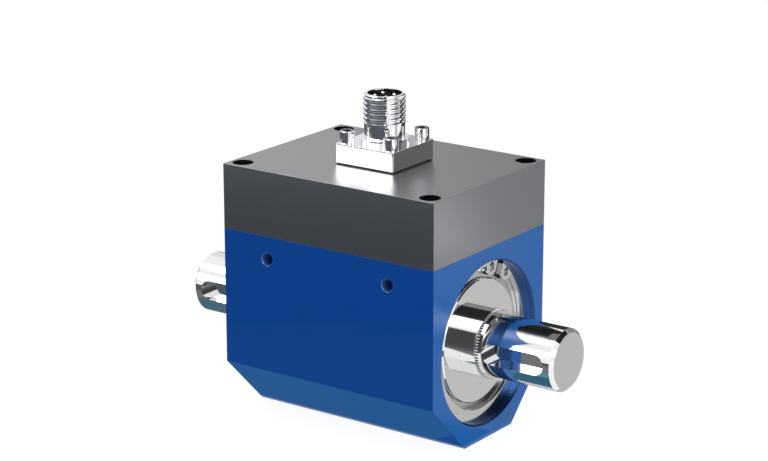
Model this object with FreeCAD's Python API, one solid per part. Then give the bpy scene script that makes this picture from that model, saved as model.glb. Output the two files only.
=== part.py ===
import FreeCAD, Part
import math
import os

from FreeCAD import Vector

# Rotary torque sensor, in millimetres.
# X runs along the shaft, Z is up and the origin is the centre of the base.
# The drive end is at +X and the load end at -X.

# Housing block and electronics cover
housing_length = 72.0
housing_width = 56.0
housing_height = 56.0
base_chamfer = 16.0
cover_height = 19.0
cover_top_wall = 6.0
cover_end_wall = 12.0
cover_side_wall = 10.0
cavity_corner = 4.0
bore_mouth_chamfer = 0.5
bearing_shoulder = 2.5
window_length = 20.0
window_width = 14.0
window_wall = 1.7

# Fits
seat_gap = 0.02
screw_gap = 0.2
thread_gap = 0.02

# Tapped holes for fixing the sensor
fixing_drill_diameter = 3.3
fixing_countersink = 0.4
side_hole_spacing = 41.4
side_hole_drop = 6.7
side_hole_depth = 8.0
base_hole_spacing_x = 24.0
base_hole_spacing_y = 14.0
base_hole_depth = 5.5
drill_point_angle = 118.0

# Shaft
end_diameter = 18.0
drive_end_length = 26.0
load_end_length = 28.0
end_chamfer = 1.0
hub_overhang = 2.5
rim_length = 0.8
rim_tooth_depth = 0.45
rim_tooth_count = 72
collar_gap = 1.9
torsion_diameter = 14.0
torsion_length = 16.0
torsion_fillet = 2.0
key_width = 6.0
key_depth = 3.5
key_length = 20.0
key_end_gap = 3.0
seam_turn = 22.5

# Ball bearings, with the ball as a share of the ring section
# and the race shoulders and cage wall as shares of the ball
journal_diameter = 20.0
bearing_outer_diameter = 47.0
bearing_width = 14.0
ring_chamfer = 0.8
ball_ratio = 0.588
ball_count = 8
race_gap = 0.03
race_ratio = 1.04
shoulder_ratio = 0.2
shield_thickness = 0.6
shield_inset = 0.4
shield_lip = 0.8
shield_gap = 0.35
cage_width = 10.0
cage_ratio = 0.4
pocket_gap = 0.15
spring_height = 1.6
spring_thickness = 0.5
spring_margin = 0.3

# Retaining rings and seal discs in the end bores
circlip_inset = 2.5
circlip_thickness = 1.75
circlip_play = 0.05
circlip_groove_depth = 1.25
circlip_wide = 4.9
circlip_narrow = 3.1
circlip_turn = 24.0
lug_angle = 11.0
lug_radius = 2.6
lug_drop = 2.2
lug_hole_diameter = 2.5
circlip_opening = 3.4
disc_gap = 1.8
disc_thickness = 0.8
disc_chamfer = 0.3

# Rotary transformer and strain gauges
core_setback = 0.6
core_bearing_gap = 1.1
core_flange = 1.5
rotor_back = 0.8
stator_back = 1.2
air_gap = 0.6
coil_drop = 0.2
gauge_count = 4
gauge_length = 6.0
gauge_width = 5.0
gauge_thickness = 0.15
rotor_board_diameter = 37.0
rotor_board_thickness = 1.6
rotor_board_setback = 2.0
rotor_chip_count = 3
rotor_chip_radius = 15.5
rotor_chip_size = (1.2, 4.0, 3.0)

# Cover seal and cover screws
seal_setback = 1.0
seal_width = 2.0
seal_depth = 1.5
cover_screw_inset = 4.0
cover_screw_diameter = 3.0
cover_screw_length = 20.0
cover_tap_runout = 1.0
cover_screw_head = 5.5
cover_screw_head_height = 3.0
counterbore_gap = 0.25
counterbore_depth = 5.0
cover_screw_socket = 2.5
socket_depth = 1.6
head_chamfer = 0.3

# Circuit board
board_margin = 2.0
board_thickness = 1.6
board_hole_inset = 2.5
standoff_height = 3.5
standoff_flats = 5.0
standoff_thread_diameter = 2.5
standoff_thread_length = 5.0
board_screw_diameter = 2.0
board_screw_length = 4.2
board_screw_head = 4.0
board_screw_head_height = 1.4
board_screw_socket = 1.5
board_screw_socket_depth = 0.7
chip_size = 9.0
chip_height = 1.4
chip_x = -12.0
capacitor_diameter = 5.0
capacitor_height = 6.0
capacitor_x = 13.0
capacitor_spacing = 16.0

# Connector on the cover
flange_size = 20.0
flange_thickness = 5.5
flange_corner = 1.4
gasket_thickness = 0.5
boss_diameter = 14.2
boss_height = 1.4
neck_diameter = 11.6
neck_height = 4.3
plug_thread_diameter = 12.0
plug_thread_length = 8.3
plug_thread_chamfer = 0.5
spigot_diameter = 13.0
spigot_length = 5.5
socket_diameter = 9.8
socket_drop = 6.5
insert_flange = 1.2
insert_flange_width = 0.9
pin_count = 4
pin_diameter = 1.0
pin_circle = 5.5
pin_drop = 0.7
pin_tail = 3.0
connector_screw_spacing = 15.1
connector_screw_diameter = 2.5
connector_screw_grip = 4.5
connector_screw_head = 4.2
connector_screw_head_height = 3.6
connector_screw_socket = 2.0

# Leads
lead_diameter = 0.9
lead_bend = 1.0
stator_lead_spacing = 4.0
stator_lead_shift_x = -4.0
stator_lead_shift_y = 2.0
lead_hole_gap = 0.25
pad_circle = 14.0

# Places worked out from the sizes above
half_length = housing_length / 2
half_width = housing_width / 2
axis_height = housing_height / 2
bore_radius = bearing_outer_diameter / 2
journal_radius = journal_diameter / 2
torsion_radius = torsion_diameter / 2
end_radius = end_diameter / 2
middle_radius = bore_radius - bearing_shoulder
bearing_outer_face = half_length - circlip_inset - circlip_thickness - circlip_play
bearing_inner_face = bearing_outer_face - bearing_width
bearing_middle = (bearing_outer_face + bearing_inner_face) / 2
spring_seat = bearing_inner_face - spring_height
groove_end = bearing_outer_face + circlip_thickness + 2 * circlip_play
groove_radius = bore_radius + circlip_groove_depth
circlip_radius = groove_radius - circlip_play
disc_radius = circlip_radius - circlip_wide - disc_gap
hub_end = half_length + hub_overhang
torsion_half = torsion_length / 2
ball_radius = ball_ratio * (bore_radius - journal_radius) / 2
pitch_radius = (journal_diameter + bearing_outer_diameter) / 4
race_radius = ball_radius * race_ratio
shoulder_height = 2 * ball_radius * shoulder_ratio
inner_land_radius = pitch_radius - ball_radius + shoulder_height
outer_land_radius = pitch_radius + ball_radius - shoulder_height
collar_radius = inner_land_radius - collar_gap
cage_half_wall = ball_radius * cage_ratio
shield_seat_radius = outer_land_radius + shield_lip
shield_depth = shield_inset + shield_thickness
core_start = torsion_half + core_setback
core_end = bearing_inner_face - core_bearing_gap
core_middle = (core_start + core_end) / 2
rotor_groove_radius = collar_radius + rotor_back
stator_groove_radius = middle_radius - stator_back
winding_depth = (stator_groove_radius - rotor_groove_radius - air_gap) / 2
rotor_core_radius = rotor_groove_radius + winding_depth
stator_bore_radius = stator_groove_radius - winding_depth
cavity_length = housing_length - 2 * cover_end_wall
cavity_width = housing_width - 2 * cover_side_wall
cover_top = housing_height + cover_height
cavity_top = cover_top - cover_top_wall
board_bottom = housing_height + standoff_height
board_top = board_bottom + board_thickness
flange_bottom = cover_top + gasket_thickness
flange_top = flange_bottom + flange_thickness
neck_bottom = flange_top + boss_height
plug_thread_bottom = neck_bottom + neck_height
connector_top = plug_thread_bottom + plug_thread_length
spigot_bottom = flange_bottom - spigot_length
insert_bottom = spigot_bottom - insert_flange
pin_bottom = insert_bottom - pin_tail

shaft_centre = Vector(0, 0, axis_height)
along_shaft = Vector(1, 0, 0)
up = Vector(0, 0, 1)


def turned(points, angle=360):
    """Solid turned about the shaft axis from (x, radius) corners."""
    corners = [Vector(x, 0, axis_height + radius) for x, radius in points]
    face = Part.Face(Part.makePolygon(corners + corners[:1]))
    return face.revolve(shaft_centre, along_shaft, angle)


def ring(start, end, inner_radius, outer_radius):
    """Plain ring about the shaft axis."""
    return turned([(start, inner_radius), (start, outer_radius), (end, outer_radius), (end, inner_radius)])


def about_shaft(shape, angle):
    """Copy of a piece turned about the shaft axis."""
    copy = shape.copy()
    copy.rotate(shaft_centre, along_shaft, angle)
    return copy


def around_shaft(shape, count):
    """Evenly spaced copies of a piece about the shaft axis."""
    return [about_shaft(shape, 360 * index / count) for index in range(count)]


def other_end(shape):
    """The same piece at the load end."""
    copy = shape.copy()
    copy.rotate(Vector(0, 0, 0), up, 180)
    return copy


def moved(shape, x, y, z):
    """Copy of a piece moved to a place."""
    copy = shape.copy()
    copy.translate(Vector(x, y, z))
    return copy


def corners_of(length, width):
    """The corner places of a rectangle centred on the origin."""
    return [(sx * length / 2, sy * width / 2) for sx in (-1, 1) for sy in (-1, 1)]


def post(radius, bottom, top, x=0.0, y=0.0):
    """Upright cylinder."""
    return Part.makeCylinder(radius, top - bottom, Vector(x, y, bottom))


def slab(length, width, corner, bottom, top):
    """Upright block with rounded corners, centred on the Z axis."""
    block = Part.makeBox(length, width, top - bottom, Vector(-length / 2, -width / 2, bottom))
    uprights = [edge for edge in block.Edges if abs(edge.tangentAt(edge.FirstParameter).z) > 0.9]
    return block.makeFillet(corner, uprights)


def hexagon(flats, bottom, top):
    """Upright hexagonal prism on the Z axis."""
    radius = flats / math.sqrt(3)
    angles = [math.radians(60 * index) for index in range(7)]
    outline = Part.makePolygon([Vector(radius * math.cos(a), radius * math.sin(a), bottom) for a in angles])
    return Part.Face(outline).extrude(Vector(0, 0, top - bottom))


def drilled(radius, depth, place, direction, countersink=0.0):
    """Cutter for a blind hole with a drill point and a countersunk mouth."""
    point = radius / math.tan(math.radians(drill_point_angle / 2))
    cutter = Part.makeCylinder(radius, depth, place, direction)
    cutter = cutter.fuse(Part.makeCone(radius, 0, point, place + direction * depth, direction))
    if countersink:
        cutter = cutter.fuse(Part.makeCone(radius + countersink, radius, countersink, place, direction))
    return cutter


def socket_screw(diameter, length, head, head_height, socket, depth):
    """Socket-head screw with the underside of its head at the origin."""
    edge_height = head_height - head_chamfer
    head_body = Part.makeCylinder(head / 2, edge_height)
    bevel = Part.makeCone(head / 2, head / 2 - head_chamfer, head_chamfer, Vector(0, 0, edge_height))
    shank = Part.makeCylinder(diameter / 2 - thread_gap, length, Vector(0, 0, -length))
    screw = head_body.fuse([bevel, shank]).removeSplitter()
    return screw.cut(hexagon(socket, head_height - depth, head_height))


def lead(points):
    """Round wire along straight runs joined by tangent arcs."""
    edges = []
    start = points[0]
    for before, corner, after in zip(points, points[1:], points[2:]):
        inbound = (corner - before).normalize()
        outbound = (after - corner).normalize()
        half_turn = inbound.getAngle(outbound) / 2
        setback = lead_bend * math.tan(half_turn)
        arc_start = corner - inbound * setback
        arc_end = corner + outbound * setback
        inward = (outbound - inbound).normalize()
        arc_middle = corner + inward * (lead_bend / math.cos(half_turn) - lead_bend)
        edges.append(Part.LineSegment(start, arc_start).toShape())
        edges.append(Part.Arc(arc_start, arc_middle, arc_end).toShape())
        start = arc_end
    edges.append(Part.LineSegment(start, points[-1]).toShape())
    section = Part.Wire([Part.makeCircle(lead_diameter / 2, points[0], points[1] - points[0])])
    return Part.Wire(edges).makePipeShell([section], True, True)


def housing_bore():
    """Cutter for the stepped bore: bearing seats, circlip grooves and the middle bore."""
    mouth = half_length - bore_mouth_chamfer
    drive_side = [
        (bearing_inner_face, middle_radius), (bearing_inner_face, bore_radius),
        (bearing_outer_face, bore_radius), (bearing_outer_face, groove_radius),
        (groove_end, groove_radius), (groove_end, bore_radius),
        (mouth, bore_radius), (half_length, bore_radius + bore_mouth_chamfer), (half_length, 0),
    ]
    load_side = [(-x, radius) for x, radius in reversed(drive_side)]
    load_side[-2:] = [(-spring_seat, bore_radius), (-spring_seat, middle_radius)]
    return turned(load_side + drive_side)


def seal_ring(inset):
    """Flat cord ring around the cover cavity, lying in the top of the housing."""
    inner = seal_setback + inset
    outer = seal_setback + seal_width - inset
    low = housing_height - seal_depth

    def around_cavity(margin):
        return slab(cavity_length + 2 * margin, cavity_width + 2 * margin, cavity_corner + margin,
                    low, housing_height)

    return around_cavity(outer).cut(around_cavity(inner))


def cover_screw_places():
    return corners_of(housing_length - 2 * cover_screw_inset, housing_width - 2 * cover_screw_inset)


def board_screw_places():
    inset = 2 * (board_margin + board_hole_inset)
    return corners_of(cavity_length - inset, cavity_width - inset)


def connector_screw_places():
    return corners_of(connector_screw_spacing, connector_screw_spacing)


def housing():
    outline = [
        (-half_width, housing_height), (-half_width, base_chamfer), (-half_width + base_chamfer, 0),
        (half_width - base_chamfer, 0), (half_width, base_chamfer), (half_width, housing_height),
    ]
    corners = [Vector(-half_length, y, z) for y, z in outline]
    block = Part.Face(Part.makePolygon(corners + corners[:1])).extrude(Vector(housing_length, 0, 0))
    window_start = bearing_inner_face - window_wall - window_length
    window = Part.makeBox(window_length, window_width, housing_height - axis_height,
                          Vector(window_start, -window_width / 2, axis_height))
    cutters = [housing_bore(), window, seal_ring(0.0)]
    screw_depth = cover_screw_length - (cover_height - counterbore_depth) + cover_tap_runout
    for x, y in cover_screw_places():
        cutters.append(drilled(cover_screw_diameter / 2, screw_depth, Vector(x, y, housing_height), -up))
    for x, y in board_screw_places():
        place = Vector(x, y, housing_height)
        cutters.append(drilled(standoff_thread_diameter / 2, standoff_thread_length, place, -up))
    fixing_radius = fixing_drill_diameter / 2
    for side in (-1, 1):
        for x in (-side_hole_spacing / 2, side_hole_spacing / 2):
            place = Vector(x, side * half_width, housing_height - side_hole_drop)
            inward = Vector(0, -side, 0)
            cutters.append(drilled(fixing_radius, side_hole_depth, place, inward, fixing_countersink))
    for x, y in corners_of(base_hole_spacing_x, base_hole_spacing_y):
        cutters.append(drilled(fixing_radius, base_hole_depth, Vector(x, y, 0), up, fixing_countersink))
    return block.cut(cutters)


def electronics_cover():
    block = Part.makeBox(housing_length, housing_width, cover_height,
                         Vector(-half_length, -half_width, housing_height))
    cutters = [
        slab(cavity_length, cavity_width, cavity_corner, housing_height, cavity_top),
        post(spigot_diameter / 2 + screw_gap / 2, cavity_top, cover_top),
    ]
    sunk_radius = cover_screw_head / 2 + counterbore_gap
    for x, y in cover_screw_places():
        cutters.append(post(cover_screw_diameter / 2 + screw_gap, housing_height, cover_top, x, y))
        cutters.append(post(sunk_radius, cover_top - counterbore_depth, cover_top, x, y))
    for x, y in connector_screw_places():
        cutters.append(post(connector_screw_diameter / 2, cavity_top, cover_top, x, y))
    return block.cut(cutters)


def cover_screws():
    screw = socket_screw(cover_screw_diameter, cover_screw_length, cover_screw_head, cover_screw_head_height,
                         cover_screw_socket, socket_depth)
    seat = cover_top - counterbore_depth
    return Part.makeCompound([moved(screw, x, y, seat) for x, y in cover_screw_places()])


def connector_shell():
    flange = slab(flange_size, flange_size, flange_corner, flange_bottom, flange_top)
    thread_top = connector_top - plug_thread_chamfer
    thread_radius = plug_thread_diameter / 2
    stack = [
        post(spigot_diameter / 2, spigot_bottom, flange_bottom),
        post(boss_diameter / 2, flange_top, neck_bottom),
        post(neck_diameter / 2, neck_bottom, plug_thread_bottom),
        post(thread_radius, plug_thread_bottom, thread_top),
        Part.makeCone(thread_radius, thread_radius - plug_thread_chamfer, plug_thread_chamfer,
                      Vector(0, 0, thread_top)),
    ]
    cutters = [post(socket_diameter / 2, spigot_bottom, connector_top)]
    for x, y in connector_screw_places():
        cutters.append(post(connector_screw_diameter / 2 + screw_gap / 2, flange_bottom, flange_top, x, y))
    return flange.fuse(stack).removeSplitter().cut(cutters)


def connector_gasket():
    plate = slab(flange_size, flange_size, flange_corner, cover_top, flange_bottom)
    cutters = [post(spigot_diameter / 2 + screw_gap / 2, cover_top, flange_bottom)]
    for x, y in connector_screw_places():
        cutters.append(post(connector_screw_diameter / 2 + screw_gap / 2, cover_top, flange_bottom, x, y))
    return plate.cut(cutters)


def connector_screws():
    length = flange_thickness + gasket_thickness + connector_screw_grip
    screw = socket_screw(connector_screw_diameter, length, connector_screw_head, connector_screw_head_height,
                         connector_screw_socket, socket_depth)
    return Part.makeCompound([moved(screw, x, y, flange_top) for x, y in connector_screw_places()])


def pin_places():
    spread = pin_circle / math.sqrt(2)
    return corners_of(spread, spread)


def connector_insert():
    socket_floor = connector_top - socket_drop
    insert_radius = socket_diameter / 2 - seat_gap
    body = post(insert_radius, insert_bottom, socket_floor)
    body = body.fuse(post(insert_radius + insert_flange_width, insert_bottom, spigot_bottom)).removeSplitter()
    hole_radius = pin_diameter / 2 + seat_gap
    return body.cut([post(hole_radius, insert_bottom, socket_floor, x, y) for x, y in pin_places()])


def connector_pins():
    radius = pin_diameter / 2
    tip = connector_top - pin_drop
    pins = []
    for x, y in pin_places():
        nose = Part.makeSphere(radius, Vector(x, y, tip - radius))
        pins.append(post(radius, pin_bottom, tip - radius, x, y).fuse(nose).removeSplitter())
    return Part.makeCompound(pins)


def connector_leads():
    spread = pad_circle / pin_circle
    bend_height = (pin_bottom + board_top) / 2
    leads = []
    for x, y in pin_places():
        route = [
            Vector(x, y, pin_bottom), Vector(x, y, bend_height),
            Vector(x * spread, y * spread, bend_height), Vector(x * spread, y * spread, board_top),
        ]
        leads.append(lead(route))
    return Part.makeCompound(leads)


def circuit_board():
    plate = slab(cavity_length - 2 * board_margin, cavity_width - 2 * board_margin, board_margin,
                 board_bottom, board_top)
    holes = [post(board_screw_diameter / 2 + screw_gap / 2, board_bottom, board_top, x, y)
             for x, y in board_screw_places()]
    return plate.cut(holes)


def board_standoffs():
    thread = Part.makeCylinder(standoff_thread_diameter / 2 - thread_gap, standoff_thread_length,
                               Vector(0, 0, -standoff_thread_length))
    pillar = hexagon(standoff_flats, 0, standoff_height).fuse(thread)
    pillar = pillar.cut(post(board_screw_diameter / 2, board_thickness - board_screw_length + standoff_height,
                             standoff_height))
    return Part.makeCompound([moved(pillar, x, y, housing_height) for x, y in board_screw_places()])


def board_screws():
    screw = socket_screw(board_screw_diameter, board_screw_length, board_screw_head, board_screw_head_height,
                         board_screw_socket, board_screw_socket_depth)
    return Part.makeCompound([moved(screw, x, y, board_top) for x, y in board_screw_places()])


def processor_chip():
    corner = Vector(chip_x - chip_size / 2, -chip_size / 2, board_top)
    return Part.makeBox(chip_size, chip_size, chip_height, corner)


def smoothing_capacitors():
    radius = capacitor_diameter / 2
    can_top = board_top + capacitor_height
    return Part.makeCompound([post(radius, board_top, can_top, capacitor_x, side * capacitor_spacing / 2)
                              for side in (-1, 1)])


def keyway(start, end):
    """Cutter for a round-ended keyway in the front of the shaft."""
    radius = key_width / 2
    length = end - start - key_width
    floor = Vector(start + radius, key_depth - end_radius, axis_height)
    cutter = Part.makeBox(length, end_radius, key_width, floor + Vector(0, -end_radius, -radius))
    ends = [Part.makeCylinder(radius, end_radius, floor + Vector(x, 0, 0), Vector(0, -1, 0))
            for x in (0, length)]
    return cutter.fuse(ends).removeSplitter()


def serrated_rim():
    """Finely toothed rim at the drive end of the hub."""
    points = []
    for index in range(2 * rim_tooth_count):
        angle = math.pi * index / rim_tooth_count
        radius = journal_radius - rim_tooth_depth * (index % 2)
        y = radius * math.sin(angle)
        z = axis_height + radius * math.cos(angle)
        points.append(Vector(hub_end - rim_length, y, z))
    return Part.Face(Part.makePolygon(points + points[:1])).extrude(Vector(rim_length, 0, 0))


def torsion_shaft():
    drive_tip = half_length + drive_end_length
    load_tip = -half_length - load_end_length
    hub_face = hub_end - rim_length
    drive_half = [
        (torsion_half, torsion_radius), (torsion_half, collar_radius),
        (bearing_inner_face, collar_radius), (bearing_inner_face, journal_radius),
        (hub_face, journal_radius), (hub_face, end_radius),
    ]
    load_half = [(-x, radius) for x, radius in reversed(drive_half)]
    drive_end = [(drive_tip - end_chamfer, end_radius), (drive_tip, end_radius - end_chamfer), (drive_tip, 0)]
    load_end = [(load_tip, 0), (load_tip, end_radius - end_chamfer), (load_tip + end_chamfer, end_radius)]
    # The seam of the turned faces lies beside the keyways, not across them.
    shaft = about_shaft(turned(load_end + load_half + drive_half + drive_end), seam_turn)
    roots = [edge for edge in shaft.Edges
             if isinstance(edge.Curve, Part.Circle) and abs(edge.Curve.Radius - torsion_radius) < 1e-6]
    shaft = shaft.makeFillet(torsion_fillet, roots)
    shaft = shaft.fuse([serrated_rim(), other_end(serrated_rim())])
    drive_key_end = drive_tip - key_end_gap
    load_key_end = load_tip + key_end_gap
    drive_keyway = keyway(drive_key_end - key_length, drive_key_end)
    load_keyway = keyway(load_key_end, load_key_end + key_length)
    return shaft.cut([drive_keyway, load_keyway])


def race(circle_radius):
    """Cutter for a ball race."""
    return Part.makeTorus(circle_radius, race_radius, Vector(bearing_middle, 0, axis_height), along_shaft)


def outer_ring():
    radius = bore_radius - seat_gap
    blank = turned([
        (bearing_inner_face, shield_seat_radius), (bearing_inner_face, radius - ring_chamfer),
        (bearing_inner_face + ring_chamfer, radius), (bearing_outer_face - ring_chamfer, radius),
        (bearing_outer_face, radius - ring_chamfer), (bearing_outer_face, shield_seat_radius),
        (bearing_outer_face - shield_depth, shield_seat_radius),
        (bearing_outer_face - shield_depth, outer_land_radius),
        (bearing_inner_face + shield_depth, outer_land_radius),
        (bearing_inner_face + shield_depth, shield_seat_radius),
    ])
    return blank.cut(race(pitch_radius + ball_radius + race_gap - race_radius))


def inner_ring():
    radius = journal_radius + seat_gap
    blank = turned([
        (bearing_inner_face, radius + ring_chamfer), (bearing_inner_face, inner_land_radius),
        (bearing_outer_face, inner_land_radius), (bearing_outer_face, radius + ring_chamfer),
        (bearing_outer_face - ring_chamfer, radius), (bearing_inner_face + ring_chamfer, radius),
    ])
    return blank.cut(race(pitch_radius - ball_radius - race_gap + race_radius))


def shields():
    inner_radius = inner_land_radius + shield_gap
    outer_radius = shield_seat_radius - seat_gap
    starts = (bearing_outer_face - shield_depth, bearing_inner_face + shield_inset)
    return Part.makeCompound([ring(start, start + shield_thickness, inner_radius, outer_radius)
                              for start in starts])


def ball_set(radius):
    ball = Part.makeSphere(radius, Vector(bearing_middle, 0, axis_height + pitch_radius))
    return around_shaft(ball, ball_count)


def balls():
    return Part.makeCompound(ball_set(ball_radius))


def cage():
    blank = ring(bearing_middle - cage_width / 2, bearing_middle + cage_width / 2,
                 pitch_radius - cage_half_wall, pitch_radius + cage_half_wall)
    return blank.cut(ball_set(ball_radius + pocket_gap))


def circlip():
    """Eccentric retaining ring with two drilled lugs beside its opening."""
    start = bearing_outer_face + circlip_play
    bore = circlip_radius - (circlip_wide + circlip_narrow) / 2
    shift = (circlip_wide - circlip_narrow) / 2
    lug_circle = bore_radius - lug_drop

    def disc(radius, angle=0.0, height=0.0):
        y = height * math.sin(math.radians(angle))
        z = axis_height + height * math.cos(math.radians(angle))
        return Part.makeCylinder(radius, circlip_thickness, Vector(start, y, z), along_shaft)

    band = disc(circlip_radius).cut(disc(bore, 0.0, shift))
    lugs = [disc(lug_radius, side * lug_angle, lug_circle) for side in (-1, 1)]
    holes = [disc(lug_hole_diameter / 2, side * lug_angle, lug_circle) for side in (-1, 1)]
    opening = Part.makeBox(circlip_thickness, circlip_opening, circlip_radius,
                           Vector(start, -circlip_opening / 2, axis_height))
    return about_shaft(band.fuse(lugs).removeSplitter().cut(holes + [opening]), -circlip_turn)


def seal_disc():
    front = bearing_outer_face + disc_thickness
    bore = journal_radius + seat_gap
    return turned([
        (bearing_outer_face, bore), (bearing_outer_face, disc_radius),
        (front - disc_chamfer, disc_radius), (front, disc_radius - disc_chamfer), (front, bore),
    ])


def preload_spring():
    """Conical spring washer behind the outer ring of the load bearing."""
    inner_radius = middle_radius + spring_margin
    outer_radius = bore_radius - spring_margin
    return turned([
        (-bearing_inner_face, inner_radius), (-bearing_inner_face + spring_thickness, inner_radius),
        (-spring_seat, outer_radius), (-spring_seat - spring_thickness, outer_radius),
    ])


def rotor_core():
    return ring(core_start, core_end, collar_radius + seat_gap, rotor_core_radius).cut(
        ring(core_start + core_flange, core_end - core_flange, rotor_groove_radius, rotor_core_radius))


def rotor_coil():
    return ring(core_start + core_flange, core_end - core_flange, rotor_groove_radius + seat_gap,
                rotor_core_radius - coil_drop)


def stator_lead_places():
    return [(core_middle, side * stator_lead_spacing / 2) for side in (-1, 1)]


def stator_core():
    body = ring(core_start, core_end, stator_bore_radius, middle_radius - seat_gap)
    groove = ring(core_start + core_flange, core_end - core_flange, stator_bore_radius, stator_groove_radius)
    holes = [post(lead_diameter / 2 + lead_hole_gap, axis_height, axis_height + middle_radius, x, y)
             for x, y in stator_lead_places()]
    return body.cut([groove] + holes)


def stator_coil():
    return ring(core_start + core_flange, core_end - core_flange, stator_bore_radius + coil_drop,
                stator_groove_radius - seat_gap)


def stator_leads():
    first_bend = axis_height + middle_radius + 2 * lead_bend
    second_bend = board_bottom - 2 * lead_bend
    leads = []
    for x, y in stator_lead_places():
        side = math.copysign(1, y)
        end_x = x + stator_lead_shift_x
        end_y = y + side * stator_lead_shift_y
        route = [
            Vector(x, y, axis_height + stator_groove_radius), Vector(x, y, first_bend),
            Vector(end_x, end_y, second_bend), Vector(end_x, end_y, board_bottom),
        ]
        leads.append(lead(route))
    return Part.makeCompound(leads)


def strain_gauges():
    spread = math.degrees(gauge_width / torsion_radius)
    inner_radius = torsion_radius + seat_gap
    outer_radius = inner_radius + gauge_thickness
    half = gauge_length / 2
    section = [(-half, inner_radius), (-half, outer_radius), (half, outer_radius), (half, inner_radius)]
    patch = turned(section, spread)
    return Part.makeCompound(around_shaft(about_shaft(patch, -spread / 2), gauge_count))


def rotor_board():
    face = -torsion_half - rotor_board_setback
    return ring(face - rotor_board_thickness, face, collar_radius + seat_gap, rotor_board_diameter / 2)


def rotor_chips():
    height, width, depth = rotor_chip_size
    face = -torsion_half - rotor_board_setback
    chip = Part.makeBox(height, width, depth,
                        Vector(face, -width / 2, axis_height + rotor_chip_radius - depth / 2))
    return Part.makeCompound(around_shaft(chip, rotor_chip_count))


pieces = {
    "housing": housing(),
    "electronics_cover": electronics_cover(),
    "cover_seal": seal_ring(seat_gap),
    "cover_screws": cover_screws(),
    "connector_shell": connector_shell(),
    "connector_gasket": connector_gasket(),
    "connector_screws": connector_screws(),
    "connector_insert": connector_insert(),
    "connector_pins": connector_pins(),
    "connector_leads": connector_leads(),
    "circuit_board": circuit_board(),
    "board_standoffs": board_standoffs(),
    "board_screws": board_screws(),
    "processor_chip": processor_chip(),
    "smoothing_capacitors": smoothing_capacitors(),
    "preload_spring": preload_spring(),
    "stator_core": stator_core(),
    "stator_coil": stator_coil(),
    "stator_leads": stator_leads(),
    "torsion_shaft": torsion_shaft(),
    "rotor_core": rotor_core(),
    "rotor_coil": rotor_coil(),
    "rotor_board": rotor_board(),
    "rotor_chips": rotor_chips(),
    "strain_gauges": strain_gauges(),
}

bearing_pieces = {
    "outer_ring": outer_ring(),
    "inner_ring": inner_ring(),
    "shields": shields(),
    "balls": balls(),
    "cage": cage(),
    "circlip": circlip(),
    "seal_disc": seal_disc(),
}
for name, shape in bearing_pieces.items():
    pieces["drive_" + name] = shape
    pieces["load_" + name] = other_end(shape)

os.makedirs("parts", exist_ok=True)
for name, shape in pieces.items():
    shape.exportStep(os.path.join("parts", name + ".step"))
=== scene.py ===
import math

import bmesh
import bpy
from mathutils import Matrix, Vector


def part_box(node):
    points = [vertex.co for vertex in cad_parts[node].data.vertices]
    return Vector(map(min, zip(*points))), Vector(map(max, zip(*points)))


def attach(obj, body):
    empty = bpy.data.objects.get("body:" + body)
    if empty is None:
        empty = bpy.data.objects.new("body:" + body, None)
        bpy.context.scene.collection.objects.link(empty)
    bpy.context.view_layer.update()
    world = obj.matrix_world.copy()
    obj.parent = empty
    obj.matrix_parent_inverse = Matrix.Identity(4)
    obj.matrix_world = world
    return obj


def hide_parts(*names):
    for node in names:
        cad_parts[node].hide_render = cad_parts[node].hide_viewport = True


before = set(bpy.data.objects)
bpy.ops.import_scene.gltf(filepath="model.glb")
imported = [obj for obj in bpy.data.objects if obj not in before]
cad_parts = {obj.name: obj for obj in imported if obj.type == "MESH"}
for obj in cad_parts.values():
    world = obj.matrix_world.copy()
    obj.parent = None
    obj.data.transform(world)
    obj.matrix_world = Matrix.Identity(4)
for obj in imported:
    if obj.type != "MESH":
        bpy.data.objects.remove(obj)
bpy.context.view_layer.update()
mm = 0.001
micron = 1e-6
turn = 2 * math.pi
weld = 1e-6  # points nearer than this become one
square = 0.9  # a normal with this share along an axis is square to it
axisHeight = (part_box("torsion_shaft")[0].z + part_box("torsion_shaft")[1].z) / 2
finishes = {}


# Finishes

mixFactor, mixFirst, mixSecond, mixResult = 0, 6, 7, 2  # a mix node's sockets for colours
grain = {"mottleWidth": 30, "strength": 0.5, "uneven": 0.15, "noiseLow": 0.3, "noiseHigh": 0.7}


def startFinish(name, colour, metallic, roughness):
    finish = bpy.data.materials.new(name)
    finish.use_nodes = True
    shader = finish.node_tree.nodes["Principled BSDF"]
    shader.inputs["Base Color"].default_value = (*colour, 1.0)
    shader.inputs["Metallic"].default_value = metallic
    shader.inputs["Roughness"].default_value = roughness
    finishes[name] = finish
    return finish.node_tree, shader


def pattern(tree, kind, scale, stretch=(1.0, 1.0, 1.0), centre=(0.0, 0.0, 0.0)):
    coords = tree.nodes.new("ShaderNodeTexCoord")
    mapping = tree.nodes.new("ShaderNodeMapping")
    mapping.inputs["Location"].default_value = [-c * s for c, s in zip(centre, stretch)]
    mapping.inputs["Scale"].default_value = stretch
    texture = tree.nodes.new(kind)
    texture.inputs["Scale"].default_value = scale
    tree.links.new(coords.outputs["Object"], mapping.inputs["Vector"])
    tree.links.new(mapping.outputs["Vector"], texture.inputs["Vector"])
    return texture


def cloudy(tree, scale, stretch=(1.0, 1.0, 1.0), detail=4.0):
    noise = pattern(tree, "ShaderNodeTexNoise", scale, stretch)
    noise.inputs["Detail"].default_value = detail
    return noise.outputs["Fac"]


def colourMix(tree, shader, factor):
    mix = tree.nodes.new("ShaderNodeMix")
    mix.data_type = "RGBA"
    tree.links.new(factor, mix.inputs[mixFactor])
    tree.links.new(mix.outputs[mixResult], shader.inputs["Base Color"])
    return mix


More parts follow.
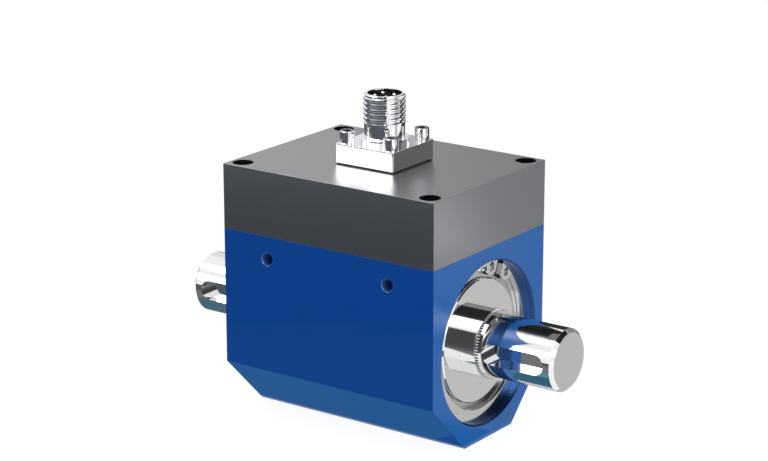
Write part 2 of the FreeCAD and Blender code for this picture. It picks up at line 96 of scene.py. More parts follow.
def spreadRoughness(tree, shader, factor, roughness, uneven):
    spread = tree.nodes.new("ShaderNodeMapRange")
    spread.inputs["From Min"].default_value = grain["noiseLow"]
    spread.inputs["From Max"].default_value = grain["noiseHigh"]
    spread.inputs["To Min"].default_value = roughness * (1 - uneven)
    spread.inputs["To Max"].default_value = roughness * (1 + uneven)
    tree.links.new(factor, spread.inputs["Value"])
    tree.links.new(spread.outputs["Result"], shader.inputs["Roughness"])


def raiseGrain(tree, shader, height, depth, strength):
    bump = tree.nodes.new("ShaderNodeBump")
    bump.inputs["Distance"].default_value = depth
    bump.inputs["Strength"].default_value = strength
    tree.links.new(height, bump.inputs["Height"])
    tree.links.new(bump.outputs["Normal"], shader.inputs["Normal"])


def grainyFinish(name, colour, metallic, roughness, scale, depth, stretch=(1.0, 1.0, 1.0), vary=0.12,
                 uneven=grain["uneven"], gloss=0.5):
    # plain finish with slight mottling, uneven gloss and a fine grain
    tree, shader = startFinish(name, colour, metallic, roughness)
    shader.inputs["Specular IOR Level"].default_value = gloss
    mottles = colourMix(tree, shader, cloudy(tree, scale / grain["mottleWidth"], stretch))
    mottles.inputs[mixFirst].default_value = (*[c * (1 - vary) for c in colour], 1.0)
    mottles.inputs[mixSecond].default_value = (*[min(1.0, c * (1 + vary)) for c in colour], 1.0)
    fine = cloudy(tree, scale, stretch)
    spreadRoughness(tree, shader, fine, roughness, uneven)
    raiseGrain(tree, shader, fine, depth, grain["strength"])
    return tree, shader


turning = {"distortion": 1.5, "detail": 2.0, "cloudScale": 900.0, "strength": 0.3}


def turnedFinish(name, colour, roughness, pitch, depth):
    # fine rings left by the lathe on a face square to the shaft
    tree, shader = startFinish(name, colour, 1.0, roughness)
    ringScale = turn / 20 / pitch  # at scale 1, the rings of a wave texture are turn / 20 apart
    rings = pattern(tree, "ShaderNodeTexWave", ringScale, centre=(0.0, 0.0, axisHeight))
    rings.wave_type = "RINGS"
    rings.rings_direction = "X"
    rings.inputs["Distortion"].default_value = turning["distortion"]
    rings.inputs["Detail"].default_value = turning["detail"]
    spreadRoughness(tree, shader, cloudy(tree, turning["cloudScale"]), roughness, grain["uneven"])
    raiseGrain(tree, shader, rings.outputs["Fac"], depth, turning["strength"])


def sums(tree, operation, first, second=None):
    node = tree.nodes.new("ShaderNodeMath")
    node.operation = operation
    for socket, value in zip(node.inputs, (first, second)):
        if isinstance(value, float):
            socket.default_value = value
        elif value is not None:
            tree.links.new(value, socket)
    return node.outputs["Value"]


rimTeeth = {"from": 37.72 * mm, "to": 38.47 * mm, "shadeRadius": 9.78 * mm, "shade": 0.03, "tip": 0.85}


def shadeTeeth(tree, shader):
    # the rim teeth are left matt by the cutter, with painted shade in their roots
    coords = tree.nodes.new("ShaderNodeTexCoord")
    split = tree.nodes.new("ShaderNodeSeparateXYZ")
    tree.links.new(coords.outputs["Object"], split.inputs["Vector"])
    across = split.outputs["Y"]
    height = sums(tree, "SUBTRACT", split.outputs["Z"], axisHeight)
    acrossSquared = sums(tree, "MULTIPLY", across, across)
    heightSquared = sums(tree, "MULTIPLY", height, height)
    radiusSquared = sums(tree, "ADD", acrossSquared, heightSquared)
    tip = sums(tree, "GREATER_THAN", radiusSquared, rimTeeth["shadeRadius"] ** 2)
    along = sums(tree, "ABSOLUTE", split.outputs["X"])
    after = sums(tree, "GREATER_THAN", along, rimTeeth["from"])
    before = sums(tree, "LESS_THAN", along, rimTeeth["to"])
    rim = sums(tree, "MULTIPLY", after, before)
    # roots get a near-black painted shade, tips a pale matt grey
    level = sums(tree, "ADD", sums(tree, "MULTIPLY", tip, rimTeeth["tip"]), rimTeeth["shade"])
    plating = shader.inputs["Base Color"].links[0].from_socket
    mix = colourMix(tree, shader, rim)
    tree.links.new(plating, mix.inputs[mixFirst])
    tree.links.new(level, mix.inputs[mixSecond])
    tree.links.new(sums(tree, "SUBTRACT", 1.0, rim), shader.inputs["Metallic"])


plain = {"vary": 0.03}
brushed = {"stretch": (0.04, 1.0, 1.0), "vary": 0.02, "uneven": 0.02}
wound = {"stretch": (1.0, 0.05, 0.05)}

# name, colour, metallic, roughness, grain scale, grain height, and what differs from the usual
grainyFinish("blueAnodised", (0.0005, 0.056, 0.303), 0.0, 0.12, 2600.0, 0.5 * micron, gloss=0.28, **plain)
# the housing ends: a more matt blue, lighter than the sides as painted sheen
grainyFinish("facedBlueWithSheen", (0.003, 0.062, 0.312), 0.0, 0.32, 2600.0, 0.5 * micron, gloss=0.36, **plain)
grainyFinish("sunkEdge", (0.060, 0.200, 0.500), 0.5, 0.34, 2600.0, 1 * micron, **plain)
grainyFinish("greyAnodised", (0.30, 0.31, 0.33), 1.0, 0.20, 2400.0, 0.12 * micron, **brushed)
# the cover top: more satin, and a lighter grey that is painted light from above
grainyFinish("satinTopWithPaintedLight", (0.32, 0.325, 0.34), 1.0, 0.33, 2400.0, 0.12 * micron, **brushed)
grainyFinish("brightPlating", (0.90, 0.90, 0.92), 1.0, 0.06, 1500.0, 0.2 * micron, **plain)
shadeTeeth(*grainyFinish("shaftPlating", (0.86, 0.86, 0.87), 1.0, 0.05, 1200.0, 0.2 * micron, **plain))
turnedFinish("discSteel", (0.92, 0.92, 0.91), 0.07, 0.22 * mm, 0.1 * micron)
grainyFinish("springSteel", (0.84, 0.84, 0.83), 1.0, 0.10, 700.0, 0.6 * micron, vary=0.05)
grainyFinish("screwTop", (0.16, 0.16, 0.17), 1.0, 0.20, 1500.0, 1 * micron, vary=0.05)
grainyFinish("blackOxide", (0.005, 0.005, 0.005), 0.0, 0.55, 3000.0, 2 * micron, gloss=0.08)
# near-black painted shadow on the walls of the cover's counterbores
grainyFinish("paintedBoreShadow", (0.003, 0.003, 0.003), 0.0, 0.55, 3000.0, 2 * micron, gloss=0.08)
grainyFinish("turnedBore", (0.038, 0.108, 0.310), 1.0, 0.30, 2500.0, 0.5 * micron)
grainyFinish("tappedHole", (0.035, 0.095, 0.320), 0.0, 0.50, 3000.0, 2 * micron)
grainyFinish("sealRubber", (0.012, 0.012, 0.013), 0.0, 0.62, 3500.0, 8 * micron)
grainyFinish("insertPlastic", (0.010, 0.010, 0.011), 0.0, 0.48, 3000.0, 4 * micron)
grainyFinish("pinPlating", (0.92, 0.92, 0.93), 1.0, 0.10, 3000.0, 0.5 * micron, **plain)
grainyFinish("leadSleeve", (0.35, 0.02, 0.02), 0.0, 0.45, 2000.0, 4 * micron)
grainyFinish("boardLaminate", (0.010, 0.095, 0.040), 0.0, 0.40, 1400.0, 6 * micron, vary=0.35)
grainyFinish("zincPlating", (0.70, 0.72, 0.74), 1.0, 0.28, 1800.0, 2 * micron)
grainyFinish("chipPlastic", (0.015, 0.015, 0.016), 0.0, 0.52, 3500.0, 5 * micron)
grainyFinish("capacitorCan", (0.62, 0.63, 0.66), 1.0, 0.30, 2200.0, 3 * micron)
grainyFinish("ferrite", (0.045, 0.042, 0.040), 0.0, 0.55, 2600.0, 10 * micron)
grainyFinish("copperWinding", (0.72, 0.27, 0.12), 1.0, 0.30, 5000.0, 30 * micron, **wound)
grainyFinish("gaugeFoil", (0.75, 0.48, 0.16), 0.6, 0.38, 1800.0, 5 * micron, vary=0.25)
grainyFinish("bearingSteel", (0.74, 0.75, 0.76), 1.0, 0.14, 2000.0, 0.5 * micron, vary=0.04)
grainyFinish("shieldSteel", (0.66, 0.66, 0.67), 1.0, 0.30, 2000.0, 2 * micron, vary=0.06)
grainyFinish("cagePolymer", (0.30, 0.20, 0.11), 0.0, 0.50, 2600.0, 8 * micron)
print("finishes:", len(finishes))

slotFinish = {
    "blue_anodised": "blueAnodised", "grey_anodised": "greyAnodised", "seal_rubber": "sealRubber",
    "black_screw": "blackOxide", "bright_plating": "brightPlating", "insert_plastic": "insertPlastic",
    "pin_plating": "pinPlating", "lead_sleeve": "leadSleeve", "board_laminate": "boardLaminate",
    "zinc_plating": "zincPlating", "chip_plastic": "chipPlastic", "capacitor_can": "capacitorCan",
    "spring_steel": "springSteel", "ferrite": "ferrite", "copper_winding": "copperWinding",
    "shaft_plating": "shaftPlating", "gauge_foil": "gaugeFoil", "bearing_steel": "bearingSteel",
    "shield_steel": "shieldSteel", "disc_steel": "discSteel", "cage_polymer": "cagePolymer",
}
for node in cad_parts.values():
    for place in node.material_slots:
        place.material = finishes[slotFinish[place.material.name]]


# Shared modelling steps

meshing = {"sharpAngle": 28, "flatAngle": 0.2}  # degrees


def addPiece(name, bm, slotName, bodyName, nodeName, extraFinishes=()):
    mesh = bpy.data.meshes.new(name)
    bm.to_mesh(mesh)
    bm.free()
    for finishName in (slotFinish[slotName], *extraFinishes):
        mesh.materials.append(finishes[finishName])
    mesh.polygons.foreach_set("use_smooth", [True] * len(mesh.polygons))
    mesh.set_sharp_from_angle(angle=math.radians(meshing["sharpAngle"]))
    piece = bpy.data.objects.new(name, mesh)
    bpy.context.scene.collection.objects.link(piece)
    flatFaces = piece.modifiers.new("flatFaces", "WEIGHTED_NORMAL")  # eased edges leave the flats true
    flatFaces.keep_sharp = True
    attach(piece, bodyName)
    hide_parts(nodeName)
    print("piece:", name, len(mesh.polygons), "faces")


def closeUp(bm):
    bmesh.ops.remove_doubles(bm, verts=bm.verts, dist=weld)
    bmesh.ops.recalc_face_normals(bm, faces=bm.faces)


def cadCopy(nodeName):
    bm = bmesh.new()
    bm.from_mesh(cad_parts[nodeName].data)
    bmesh.ops.remove_doubles(bm, verts=bm.verts, dist=weld)
    flatAngle = math.radians(meshing["flatAngle"])
    bmesh.ops.dissolve_limit(bm, angle_limit=flatAngle, verts=bm.verts, edges=bm.edges)
    return bm


def softenEdges(bm, edges, width, segments):
    bmesh.ops.bevel(bm, geom=edges, offset=width, offset_type="OFFSET", segments=segments, profile=0.5,
                    affect="EDGES", material=-1, clamp_overlap=True)


def sharpEdges(bm, angle):
    return [e for e in bm.edges if len(e.link_faces) == 2 and e.calc_face_angle() > math.radians(angle)]


def vertsOf(geom):
    return [g for g in geom if isinstance(g, bmesh.types.BMVert)]


def lathe(bm, points, steps, closed=False, rise=0.0):
    # turns (radius, height) points about the upright axis, as a screw where there is a rise
    verts = [bm.verts.new((radius, 0.0, height)) for radius, height in points]
    following = verts[1:] + verts[:1] if closed else verts[1:]
    edges = [bm.edges.new(pair) for pair in zip(verts, following)]
    bmesh.ops.spin(bm, geom=verts + edges, cent=(0, 0, 0), axis=(0, 0, 1), angle=turn, steps=steps,
                   dvec=(0, 0, rise / steps), use_merge=not rise)


def loopAt(bm, height):
    return [e for e in bm.edges if e.is_boundary and all(abs(v.co.z - height) < weld for v in e.verts)]


def pullEdges(bm, edges):
    made = bmesh.ops.extrude_edge_only(bm, edges=edges)["geom"]
    verts = vertsOf(made)
    fresh = set(verts)
    return verts, [g for g in made if isinstance(g, bmesh.types.BMEdge) and fresh.issuperset(g.verts)]


def pullToRadius(bm, edges, radius):
    verts, pulled = pullEdges(bm, edges)
    for vert in verts:
        vert.co.xy *= radius / vert.co.xy.length
    return pulled


def pullAlong(bm, edges, rise):
    verts, pulled = pullEdges(bm, edges)
    bmesh.ops.translate(bm, verts=verts, vec=(0, 0, rise))
    return pulled


def fourFold(bm, across, along):
    # one copy at each of the other corners of a rectangle
    single = bm.verts[:] + bm.edges[:] + bm.faces[:]
    for step in ((across, 0.0, 0.0), (0.0, along, 0.0), (across, along, 0.0)):
        copied = bmesh.ops.duplicate(bm, geom=single)["geom"]
        bmesh.ops.translate(bm, verts=vertsOf(copied), vec=step)


# Housing and cover, with eased edges

blocks = {
    "easedEdge": 0.06 * mm, "segments": 3, "foldAngle": 25, "longEdge": 6 * mm, "wallSlack": 0.05 * mm,
}


def onOuterWall(point, low, high, axes):
    return any(abs(point[k] - side[k]) < blocks["wallSlack"] for k in axes for side in (low, high))


def easedBlock(nodeName, jointHeight):
    # the rims inside the joint of the two blocks stay sharp
    bm = cadCopy(nodeName)
    low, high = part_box(nodeName)
    outer = []
    for edge in sharpEdges(bm, blocks["foldAngle"]):
        ends = [v.co for v in edge.verts]
        inJoint = all(abs(p.z - jointHeight) < blocks["wallSlack"] for p in ends)
        axes = (0, 1) if inJoint else (0, 1, 2)
        onOutside = all(onOuterWall(p, low, high, axes) for p in ends)
        if onOutside and edge.calc_length() > blocks["longEdge"]:
            outer.append(edge)
    softenEdges(bm, outer, blocks["easedEdge"], blocks["segments"])
    return bm, high


housing = {
    "holeSpread": 41.4 * mm, "holeHeight": 49.3 * mm, "holeReach": 2.4 * mm, "holeWall": 0.4,
    "boreRadius": 23.5 * mm, "boreDepth": 6.0 * mm, "boreSlack": 1.0 * mm,
    "finishes": ["tappedHole", "turnedBore", "sunkEdge", "facedBlueWithSheen"],
}


def housingBlock():
    bm, high = easedBlock("housing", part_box("housing")[1].z)
    places = {name: place for place, name in enumerate(housing["finishes"], 1)}
    for face in bm.faces:
        middle = face.calc_center_median()
        along = abs(face.normal.x)
        across = abs(face.normal.y)
        fromEnd = high.x - abs(middle.x)
        offHole = math.hypot(abs(middle.x) - housing["holeSpread"] / 2, middle.z - housing["holeHeight"])
        offShaft = math.hypot(middle.y, middle.z - axisHeight)
        atBore = abs(offShaft - housing["boreRadius"]) < housing["boreSlack"]
        if offHole < housing["holeReach"] and across < square:
            face.material_index = places["tappedHole" if across < housing["holeWall"] else "sunkEdge"]
        if atBore and fromEnd < housing["boreDepth"] and along < square:
            face.material_index = places["turnedBore"]
        if along > square and fromEnd < blocks["wallSlack"]:
            face.material_index = places["facedBlueWithSheen"]  # the ends are faced to a more matt finish than the sides, and their lighter blue is painted sheen
    addPiece("housingBlock", bm, "blue_anodised", "sensor_body", "housing", housing["finishes"])


cover = {
    "boreReach": 6 * mm, "boreDepth": 4 * mm, "boreInset": 0.5 * mm, "boreWall": 0.3,
    "finishes": ["paintedBoreShadow", "satinTopWithPaintedLight"],
}


def coverBlock():
    bm, high = easedBlock("electronics_cover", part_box("electronics_cover")[0].z)
    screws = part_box("cover_screws")[1]
    places = {name: place for place, name in enumerate(cover["finishes"], 1)}
    for face in bm.faces:
        middle = face.calc_center_median()
        inCorner = all(abs(middle[k]) > screws[k] - cover["boreReach"] for k in (0, 1))
        inside = all(abs(middle[k]) < high[k] - cover["boreInset"] for k in (0, 1))
        atHead = middle.z > screws.z - cover["boreDepth"]
        if inCorner and inside and atHead and abs(face.normal.z) < cover["boreWall"]:
            # the counterbore walls round the screw heads take a black painted shadow
            face.material_index = places["paintedBoreShadow"]
        if face.normal.z > square and high.z - middle.z < blocks["wallSlack"]:
            face.material_index = places["satinTopWithPaintedLight"]  # the top is more satin than the sides, and its lighter grey is painted light from above
    addPiece("coverBlock", bm, "grey_anodised", "sensor_body", "electronics_cover", cover["finishes"])


housingBlock()
coverBlock()


# Connector with its thread

connector = {
    "steps": 96, "threadTurns": 6, "turnsAdded": 2, "turnsBelow": 1.3, "crestShare": 0.28,
    "threadDepth": 0.55 * mm, "threadDiameter": 12.0 * mm, "threadLength": 8.3 * mm, "threadSink": 0.3 * mm,
    "startChamfer": 0.40 * mm, "cutSlack": 1e-8, "socketDiameter": 9.8 * mm, "neckDiameter": 11.6 * mm,
    "neckHeight": 4.3 * mm, "bossDiameter": 14.2 * mm, "bossHeight": 1.4 * mm, "spigotDiameter": 13.0 * mm,
    "flangeHeight": 5.5 * mm, "flangeCorner": 0.5 * mm, "cornerSteps": 8,
    "eased": 0.06 * mm, "easedSegments": 2,
}


def threadedSleeve(bm, bottom, top):
    sizes = connector
    pitch = (top - bottom) / sizes["threadTurns"]
    bore = sizes["socketDiameter"] / 2
    crest = sizes["threadDiameter"] / 2
    root = crest - sizes["threadDepth"]
    flat = sizes["crestShare"] * pitch
    slope = pitch / 2 - flat
    points = []
    for index in range(sizes["threadTurns"] + sizes["turnsAdded"]):
        start = bottom + (index - sizes["turnsBelow"]) * pitch
        points += [(root, start), (root, start + flat)]
        points += [(crest, start + flat + slope), (crest, start + 2 * flat + slope)]
    lathe(bm, points, sizes["steps"], rise=pitch)
    bmesh.ops.remove_doubles(bm, verts=bm.verts, dist=weld)
    chamferStart = top - sizes["startChamfer"]
    cuts = ((bottom, True, False), (chamferStart, False, False), (top, False, True))
    for height, clearBelow, clearAbove in cuts:
        geom = bm.verts[:] + bm.edges[:] + bm.faces[:]
        bmesh.ops.bisect_plane(bm, geom=geom, dist=sizes["cutSlack"], plane_co=(0, 0, height),
                               plane_no=(0, 0, 1), clear_inner=clearBelow, clear_outer=clearAbove)
    for vert in bm.verts:  # lead-in chamfer at the mouth
        limit = crest - max(0.0, vert.co.z - chamferStart)
        vert.co.xy *= min(1.0, limit / vert.co.xy.length)
    pullToRadius(bm, loopAt(bm, bottom), bore)
    rim = pullToRadius(bm, loopAt(bm, top), bore)
    pullAlong(bm, rim, bottom - top)
    bmesh.ops.remove_doubles(bm, verts=bm.verts, dist=2 * weld)


def roundedSquare(width, depth, corner, steps):
    points = []
    for quarter in range(4):
        across = (width / 2 - corner) * (1 if quarter in (0, 3) else -1)
        along = (depth / 2 - corner) * (1 if quarter in (0, 1) else -1)
        for step in range(steps + 1):
            angle = (quarter + step / steps) * turn / 4
            points.append((across + corner * math.cos(angle), along + corner * math.sin(angle)))
    return points


def flangeBlock(bm, width, depth, bottom, top):
    sizes = connector
    outline = roundedSquare(width, depth, sizes["flangeCorner"], sizes["cornerSteps"])
    verts = [bm.verts.new((x, y, bottom)) for x, y in outline]
    base = [bm.edges.new(pair) for pair in zip(verts, verts[1:] + verts[:1])]
    rim = pullAlong(bm, base, top - bottom)
    mouth = pullToRadius(bm, rim, sizes["socketDiameter"] / 2)
    bmesh.ops.bridge_loops(bm, edges=base + pullAlong(bm, mouth, bottom - top))
    softenEdges(bm, rim, sizes["eased"], sizes["easedSegments"])


def connectorShell():
    sizes = connector
    low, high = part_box("connector_shell")
    top = high.z
    threadBottom = top - sizes["threadLength"]
    neckBottom = threadBottom - sizes["neckHeight"]
    flangeTop = neckBottom - sizes["bossHeight"]
    flangeBottom = flangeTop - sizes["flangeHeight"]
    bore = sizes["socketDiameter"] / 2
    neck = sizes["neckDiameter"] / 2
    boss = sizes["bossDiameter"] / 2
    spigot = sizes["spigotDiameter"] / 2
    eased = sizes["eased"]
    sink = sizes["threadSink"]
    bm = bmesh.new()
    threadedSleeve(bm, threadBottom - sink, top)
    lathe(bm, [
        (bore, flangeTop - sink), (boss, flangeTop - sink),
        (boss, neckBottom - eased), (boss - eased, neckBottom),
        (neck, neckBottom), (neck, threadBottom - eased),
        (neck - eased, threadBottom), (bore, threadBottom),
    ], sizes["steps"], closed=True)
    lathe(bm, [
        (bore, low.z), (spigot, low.z),
        (spigot, flangeBottom + sink), (bore, flangeBottom + sink),
    ], sizes["steps"], closed=True)
    flangeBlock(bm, high.x - low.x, high.y - low.y, flangeBottom, flangeTop)
    bmesh.ops.recalc_face_normals(bm, faces=bm.faces)
    addPiece("connectorShell", bm, "bright_plating", "sensor_body", "connector_shell")


connectorShell()


# Socket screws

connectorScrew = {
    "head": 4.2 * mm, "headHeight": 3.6 * mm, "shank": 2.46 * mm, "length": 10.5 * mm,
    "socket": 2.0 * mm, "depth": 1.6 * mm, "eased": 0.25 * mm, "dish": 0.15 * mm, "steps": 64,
}
coverScrew = {
    "head": 5.5 * mm, "headHeight": 3.0 * mm, "shank": 2.96 * mm, "length": 20.0 * mm,
    "socket": 2.5 * mm, "depth": 1.6 * mm, "eased": 0.3 * mm, "dish": 0.2 * mm, "steps": 64,
}


def socketScrew(bm, sizes):
    radius = sizes["head"] / 2
    shank = sizes["shank"] / 2
    socket = sizes["socket"] / math.sqrt(3)  # from the middle of the hexagon to a corner
    height = sizes["headHeight"]
    length = sizes["length"]
    eased = sizes["eased"]
    halfway = eased * 0.3  # how far a rounded edge cuts in at its middle
    lathe(bm, [
        (0.0, -length), (shank - eased, -length), (shank, eased - length), (shank, 0.0),
        (radius - eased / 2, 0.0), (radius, eased / 2), (radius, height - eased),
        (radius - halfway, height - halfway), (radius - eased, height), (socket + sizes["dish"], height),
    ], sizes["steps"])
    bmesh.ops.remove_doubles(bm, verts=bm.verts, dist=weld / 10)
    mouthPlace = Matrix.Translation((0, 0, height - sizes["dish"] / 2))
    made = bmesh.ops.create_circle(bm, segments=6, radius=socket, matrix=mouthPlace)
    mouth = list({e for v in made["verts"] for e in v.link_edges})
    bmesh.ops.bridge_loops(bm, edges=loopAt(bm, height) + mouth)
    bmesh.ops.contextual_create(bm, geom=pullAlong(bm, mouth, -sizes["depth"]))
    closeUp(bm)


def screwSet(name, nodeName, slotName, sizes, topFinish):
    low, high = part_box(nodeName)
    head = sizes["head"]
    bm = bmesh.new()
    socketScrew(bm, sizes)
    fourFold(bm, high.x - low.x - head, high.y - low.y - head)
    # the top faces of each head take the second finish: for the connector screws a plating darker than
    # their sides
    for face in bm.faces:
        if face.normal.z > square and face.calc_center_median().z > sizes["headHeight"] - sizes["dish"]:
            face.material_index = 1
    first = (low.x + head / 2, low.y + head / 2, high.z - sizes["headHeight"])
    bmesh.ops.translate(bm, verts=bm.verts, vec=first)
    addPiece(name, bm, slotName, "sensor_body", nodeName, [topFinish])


screwSet("connectorScrews", "connector_screws", "bright_plating", connectorScrew, "screwTop")
screwSet("coverScrews", "cover_screws", "black_screw", coverScrew, "blackOxide")


# Contact pins with round tips

pins = {"diameter": 1.0 * mm, "drop": 0.25 * mm, "steps": 24, "tipSteps": 6}


def contactPins():
    low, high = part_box("connector_pins")
    radius = pins["diameter"] / 2
    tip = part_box("connector_shell")[1].z - pins["drop"]
    nose = []
    for step in range(pins["tipSteps"]):
        angle = step / pins["tipSteps"] * turn / 4
        nose.append((radius * math.cos(angle), tip - radius + radius * math.sin(angle)))
    bm = bmesh.new()
    lathe(bm, [(0.0, low.z), (radius, low.z), *nose, (0.0, tip)], pins["steps"])
    closeUp(bm)
    fourFold(bm, high.x - low.x - 2 * radius, high.y - low.y - 2 * radius)
    bmesh.ops.translate(bm, verts=bm.verts, vec=(low.x + radius, low.y + radius, 0.0))
    addPiece("contactPins", bm, "pin_plating", "sensor_body", "connector_pins")


contactPins()


# Retaining rings

stampings = {"eased": 0.10 * mm, "segments": 2, "foldAngle": 40}


def stampedPiece(name, nodeName, slotName, bodyName):
    bm = cadCopy(nodeName)
    softenEdges(bm, sharpEdges(bm, stampings["foldAngle"]), stampings["eased"], stampings["segments"])
    addPiece(name, bm, slotName, bodyName, nodeName)


for end in ("drive", "load"):
    stampedPiece(end + "Circlip", end + "_circlip", "spring_steel", "sensor_body")


# Stage, light and camera

shot = {
    "azimuth": 35.4393, "elevation": 16.495, "distance": 691.0 * mm,
    "target": (-0.2141 * mm, 0.0, 54.5911 * mm), "clipStart": 0.01,
    "focalPixels": 2422.09, "imageWidth": 768, "sensor": 36.0,
}
stageSet = {
    "floorSize": 8.0, "floorDrop": 0.1 * mm, "floorShade": 0.10, "floorRoughness": 0.9,
    "floorGlow": 0.94, "floorBounce": 0.95, "ambient": 0.30, "background": 1.0,
    "lampDistance": 1.0, "cardSteps": 24,
}


def towards(azimuth, elevation):
    a, e = math.radians(azimuth), math.radians(elevation)
    return Vector((math.sin(a) * math.cos(e), -math.cos(a) * math.cos(e), math.sin(e)))


def aimed(place, target):
    return (Vector(place) - Vector(target)).to_track_quat("Z", "Y").to_euler()


def addCamera():
    data = bpy.data.cameras.new("photoCamera")
    data.sensor_width = shot["sensor"]
    data.lens = shot["sensor"] * shot["focalPixels"] / shot["imageWidth"]
    data.clip_start = shot["clipStart"]
    camera = bpy.data.objects.new("photoCamera", data)
    target = Vector(shot["target"])
    camera.location = target + towards(shot["azimuth"], shot["elevation"]) * shot["distance"]
    camera.rotation_euler = aimed(camera.location, target)
    bpy.context.scene.collection.objects.link(camera)
    bpy.context.scene.camera = camera


def seenRays(tree):
    # 1 for the rays that show the background: straight, mirrored or through glass
    path = tree.nodes.new("ShaderNodeLightPath")
    seen = sums(tree, "MAXIMUM", path.outputs["Is Camera Ray"], path.outputs["Is Glossy Ray"])
    return sums(tree, "MAXIMUM", seen, path.outputs["Is Transmission Ray"])


def glowing(tree, level, tint=(1.0, 1.0, 1.0), kind="Emission"):
    glow = tree.nodes.new("ShaderNode" + kind)
    glow.inputs["Color"].default_value = (*tint, 1.0)
    glow.inputs["Strength"].default_value = level
    return glow.outputs[kind]


def eitherOf(tree, factor, first, second):
    pick = tree.nodes.new("ShaderNodeMixShader")
    for socket, source in zip(pick.inputs, (factor, first, second)):
        tree.links.new(source, socket)
    return pick.outputs["Shader"]


def addWorld():
    world = bpy.data.worlds.new("studio")
    world.use_nodes = True
    bpy.context.scene.world = world
    tree = world.node_tree
    tree.nodes.remove(tree.nodes["Background"])
    soft = glowing(tree, stageSet["ambient"], kind="Background")
    white = glowing(tree, stageSet["background"], kind="Background")
    surface = eitherOf(tree, seenRays(tree), soft, white)
    tree.links.new(surface, tree.nodes["World Output"].inputs["Surface"])


def addSheet(name, bm, finish):
    mesh = bpy.data.meshes.new(name)
    bm.to_mesh(mesh)
    bm.free()
    mesh.materials.append(finish)
    sheet = bpy.data.objects.new(name, mesh)
    bpy.context.scene.collection.objects.link(sheet)
    return sheet


def floorFinish():
    shade = (stageSet["floorShade"],) * 3
    tree, shader = startFinish("paleFloor", shade, 0.0, stageSet["floorRoughness"])
    bounce = glowing(tree, stageSet["floorBounce"])
    glow = glowing(tree, stageSet["floorGlow"])
    add = tree.nodes.new("ShaderNodeAddShader")
    tree.links.new(shader.outputs["BSDF"], add.inputs[0])
    tree.links.new(eitherOf(tree, seenRays(tree), bounce, glow), add.inputs[1])
    tree.links.new(add.outputs["Shader"], tree.nodes["Material Output"].inputs["Surface"])
    return finishes["paleFloor"]


def addFloor():
    bm = bmesh.new()
    bmesh.ops.create_grid(bm, x_segments=1, y_segments=1, size=stageSet["floorSize"] / 2)
    bmesh.ops.translate(bm, verts=bm.verts, vec=(0.0, 0.0, -stageSet["floorDrop"]))
    addSheet("paleFloor", bm, floorFinish())


cards = {
    # name: level, tint, azimuths, rims as (radius, height)
    # the teal cards under the part and under its shafts are painted reflection of the shade beneath them
    "paintedReflectedShade": (1.0, (0.100, 0.290, 0.290), (-180, 64), ((0.002, 0.0009), (0.054, 0.0009))),
    "paintedReflectedShadeTip": (1.0, (0.045, 0.130, 0.210), (64, 93), ((0.002, 0.0010), (0.060, 0.0010))),
    # painted shadow under the back of the housing, seen only mirrored
    "paintedShadowUnderBack": (0.06, (0.6, 1.0, 1.4), (95, 180), ((0.002, 0.0006), (0.036, 0.0006))),
    "frontFloorNear": (0.18, (1.0, 1.0, 1.0), (-170, 48), ((0.044, 0.0008), (0.12, 0.0008))),
    "paintedReflectedShadeLeft": (1.0, (0.075, 0.150, 0.195), (-150, -75), ((0.044, 0.0010), (0.085, 0.0010))),
    "frontFloorMid": (0.10, (0.85, 1.0, 1.15), (-170, 62), ((0.12, 0.0008), (0.20, 0.0008))),
    "frontFloorFar": (0.10, (0.85, 1.0, 1.15), (-170, 35), ((0.20, 0.0008), (0.44, 0.0008))),
    "cameraFloor": (0.06, (1.0, 1.0, 1.0), (30, 48), ((0.20, 0.0008), (1.0, 0.0008))),
    "backFloor": (0.54, (1.0, 1.0, 1.0), (95, 153), ((0.036, 0.0008), (1.10, 0.0008))),
    "backGlow": (1.15, (1.0, 1.0, 1.0), (112, 136.5), ((0.195, 0.0009), (0.36, 0.0009))),
    "rearFloor": (0.08, (1.0, 1.0, 1.0), (153, 190), ((0.036, 0.0008), (1.10, 0.0008))),
    "backRightWall": (0.27, (1.0, 1.0, 1.02), (118, 188), ((1.12, 0.03), (1.12, 0.72))),
    "backWall": (0.44, (1.0, 1.0, 1.02), (188, 214.5), ((1.12, 0.03), (1.12, 0.72))),
    "backLeftWall": (0.84, (1.0, 0.98, 1.0), (214.5, 262), ((1.12, 0.13), (1.12, 0.90))),
    "backLeftSkirt": (0.05, (1.0, 1.0, 1.0), (214.5, 250), ((1.12, 0.0), (1.12, 0.13))),
    "shaftFlag": (0.03, (1.0, 1.0, 1.0), (138, 190), ((0.066, 0.004), (0.066, 0.078))),
    "cameraWall": (0.06, (1.0, 1.0, 1.0), (30, 45), ((1.0, 0.0), (1.0, 0.74))),
    "rightCard": (2.0, (1.0, 1.0, 1.0), (46, 78), ((1.0, 0.22), (1.0, 0.52))),
    "rightShade": (0.12, (1.0, 1.0, 1.0), (98, 118), ((1.0, 0.10), (1.0, 0.62))),
    "rightHood": (0.02, (1.0, 1.0, 1.0), (92, 150), ((1.12, 0.72), (0.30, 1.00))),
    "ceiling": (0.20, (1.0, 1.0, 1.0), (0, 360), ((0.80, 1.16), (0.002, 1.20))),
}
paleWhenMirroredTwice = {"paintedReflectedShadeTip": 0.88}  # level of such a card past the first mirror
firstMirror = 1.5  # more glossy bounces than this lie past the first mirror


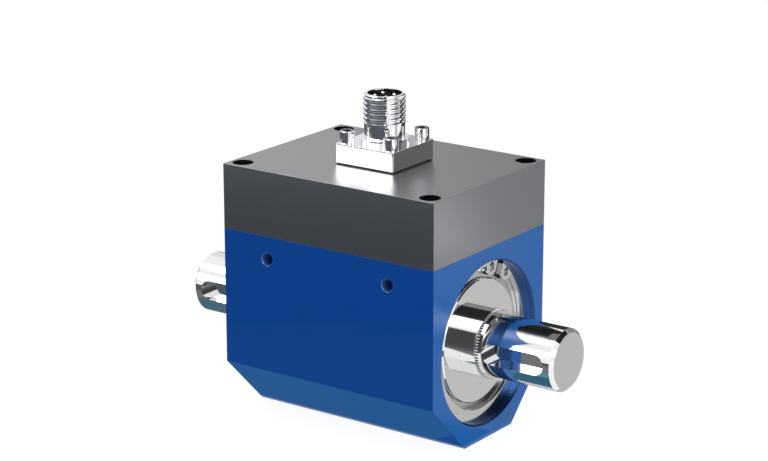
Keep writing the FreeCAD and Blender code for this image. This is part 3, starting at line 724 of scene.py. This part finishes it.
def cardFinish(name, level, tint):
    card = bpy.data.materials.new(name)
    card.use_nodes = True
    tree = card.node_tree
    tree.nodes.remove(tree.nodes["Principled BSDF"])
    surface = glowing(tree, level, tint)
    if name in paleWhenMirroredTwice:
        path = tree.nodes.new("ShaderNodeLightPath")
        twice = sums(tree, "GREATER_THAN", path.outputs["Glossy Depth"], firstMirror)
        surface = eitherOf(tree, twice, surface, glowing(tree, paleWhenMirroredTwice[name]))
    tree.links.new(surface, tree.nodes["Material Output"].inputs["Surface"])
    return card


def addCards():
    # studio cards that only show mirrored in the metal; those under the part and its shafts are painted
    # shade
    for name, (level, tint, azimuths, rims) in cards.items():
        bm = bmesh.new()
        start = towards(azimuths[0], 0.0)
        verts = [bm.verts.new((radius * start.x, radius * start.y, height)) for radius, height in rims]
        edge = bm.edges.new(verts)
        arc = math.radians(azimuths[1] - azimuths[0])
        bmesh.ops.spin(bm, geom=verts + [edge], cent=(0, 0, 0), axis=(0, 0, 1), angle=arc,
                       steps=stageSet["cardSteps"])
        card = addSheet(name, bm, cardFinish(name, level, tint))
        for ray in ("camera", "diffuse", "shadow", "transmission", "volume_scatter"):
            setattr(card, "visible_" + ray, False)


lamps = {
    # name: azimuth, elevation, width, height, watts, whether diffuse and mirrored light show it, tint
    "keySoftbox": (-19.0, 21.0, 0.94, 0.32, 4.2, False, True, (1.0, 1.0, 1.0)),
    "rightSoftbox": (62.0, 48.0, 0.42, 0.42, 2.4, True, True, (1.0, 1.0, 1.0)),
    "frontFill": (-62.0, 51.0, 0.40, 0.40, 2.0, True, True, (1.0, 1.0, 1.0)),
    "endFill": (100.0, 5.5, 0.60, 0.14, 4.3, True, False, (0.8, 2.1, 1.04)),
}


def addLamps():
    middle = Vector((0.0, 0.0, axisHeight))
    for name, (azimuth, elevation, width, height, watts, diffuse, mirrored, tint) in lamps.items():
        data = bpy.data.lights.new(name, "AREA")
        data.shape = "RECTANGLE"
        data.size = width
        data.size_y = height
        data.energy = watts
        data.color = tint
        lamp = bpy.data.objects.new(name, data)
        lamp.location = middle + towards(azimuth, elevation) * stageSet["lampDistance"]
        lamp.rotation_euler = aimed(lamp.location, middle)
        lamp.visible_diffuse = diffuse
        lamp.visible_glossy = mirrored
        bpy.context.scene.collection.objects.link(lamp)


addCamera()
addWorld()
addFloor()
addCards()
addLamps()
bpy.context.scene.view_settings.view_transform = "Standard"
print("stage:", len(cards), "cards and", len(lamps), "lamps")
